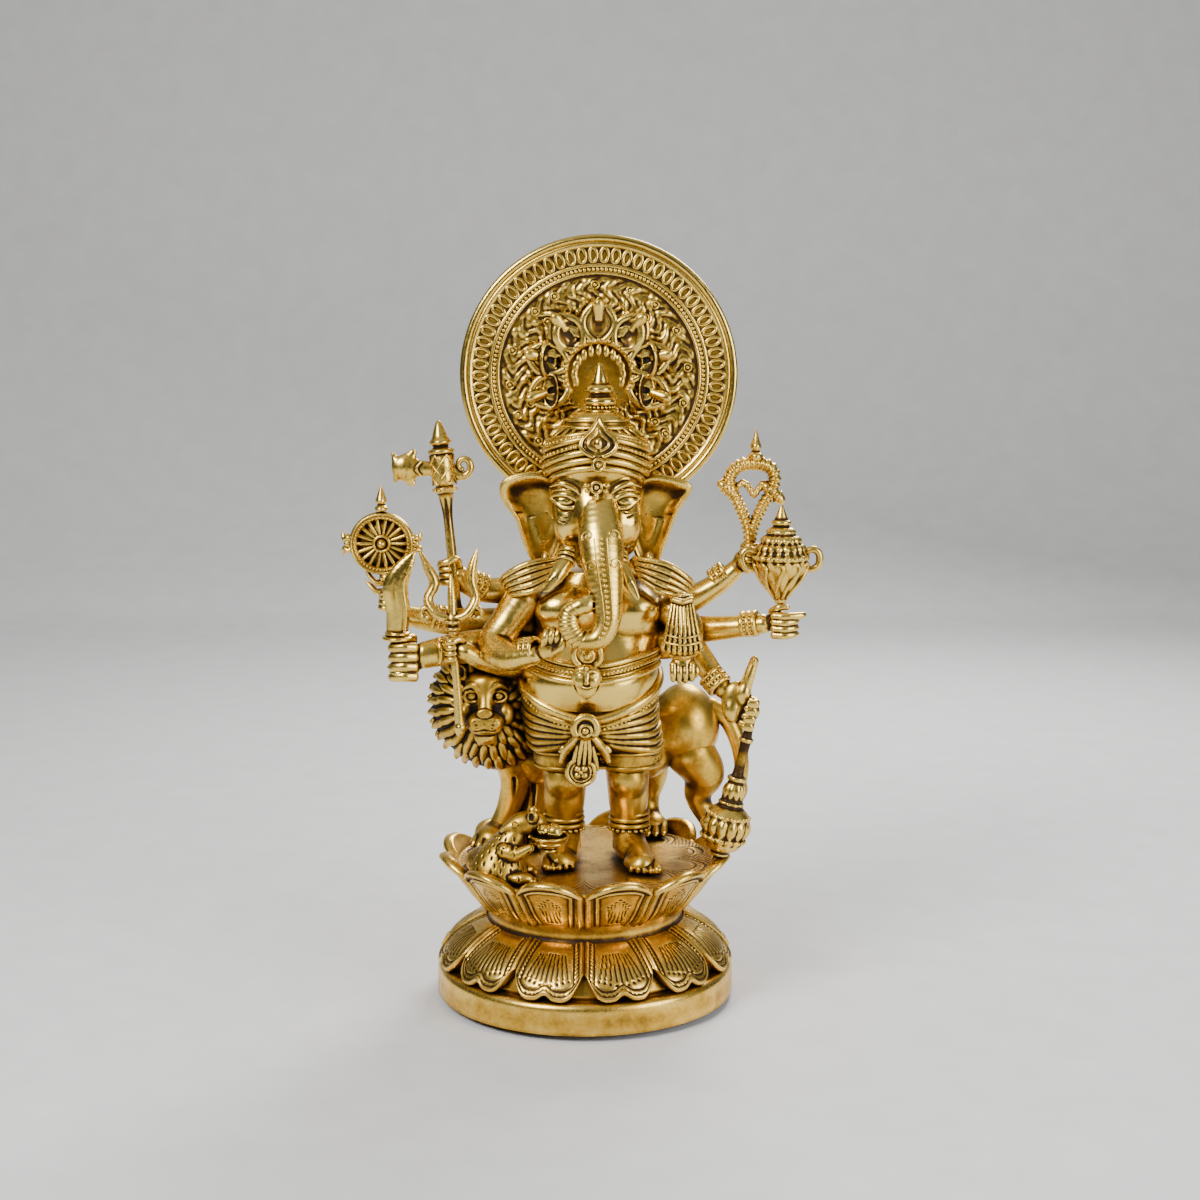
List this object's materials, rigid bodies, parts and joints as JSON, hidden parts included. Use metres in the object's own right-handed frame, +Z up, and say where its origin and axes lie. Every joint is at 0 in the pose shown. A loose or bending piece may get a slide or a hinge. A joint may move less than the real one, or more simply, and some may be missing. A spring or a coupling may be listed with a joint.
{
  "type": "ganesha idol",
  "caption": "Cast brass elephant-headed figure on a round lotus base, with lion, mouse, halo disc and held emblems.",
  "frame": {"origin": "middle of the base, on the surface that the idol stands on", "axes": "+Z up along the height; the figure faces -Y; +X is the viewer's right"},
  "size_m": [0.2201, 0.1388, 0.3508],
  "materials": {
    "aged_brass": "cast brass, dark brown patina in the recesses and rubbed bright on the high points",
    "polished_brass": "brass polished bright and smooth",
    "brown_brass": "cast brass with a brown antique patina, satin",
    "base_brass": "satin brass with a coppery patina",
    "steel": "plain steel fixing"
  },
  "bodies": {
    "root": {"base_screws": "steel", "halo_bolt": "steel", "deck": "base_brass", "lotus_core": "base_brass", "plinth": "base_brass", "lower_petals": "base_brass", "upper_petals": "base_brass", "torso": "polished_brass", "dhoti": "brown_brass", "right_leg": "brown_brass", "left_leg": "brown_brass", "head": "polished_brass", "trunk": "polished_brass", "right_tusk": "polished_brass", "left_tusk": "polished_brass", "right_ear": "aged_brass", "left_ear": "aged_brass", "earrings": "aged_brass", "axe": "aged_brass", "discus": "aged_brass", "sword": "aged_brass", "trident": "aged_brass", "noose": "aged_brass", "conch": "aged_brass", "mace": "aged_brass", "right_front_arm": "aged_brass", "left_front_arm": "aged_brass", "axe_arm": "aged_brass", "discus_arm": "aged_brass", "sword_arm": "aged_brass", "trident_arm": "aged_brass", "noose_arm": "aged_brass", "conch_arm": "aged_brass", "mace_arm": "aged_brass", "scarf_end": "aged_brass", "right_shoulder_drape": "aged_brass", "left_shoulder_drape": "aged_brass", "belly_band": "aged_brass", "band_buckle": "aged_brass", "sash_knot": "aged_brass", "front_pendant": "aged_brass", "hip_sash": "aged_brass", "anklets": "aged_brass", "right_bracelets": "aged_brass", "left_bracelets": "aged_brass", "crest_leaf": "aged_brass", "brow_jewel": "aged_brass", "turban": "aged_brass", "crown_finial": "polished_brass", "halo_disc": "aged_brass", "halo_rim": "polished_brass", "cobra_hoods": "aged_brass", "lion_head": "brown_brass", "lion_body": "brown_brass", "lion_forelegs": "brown_brass", "lion_hindlegs": "brown_brass", "lion_tail": "brown_brass", "mouse": "brown_brass", "laddu_bowl": "polished_brass"}
  },
  "joints": []
}
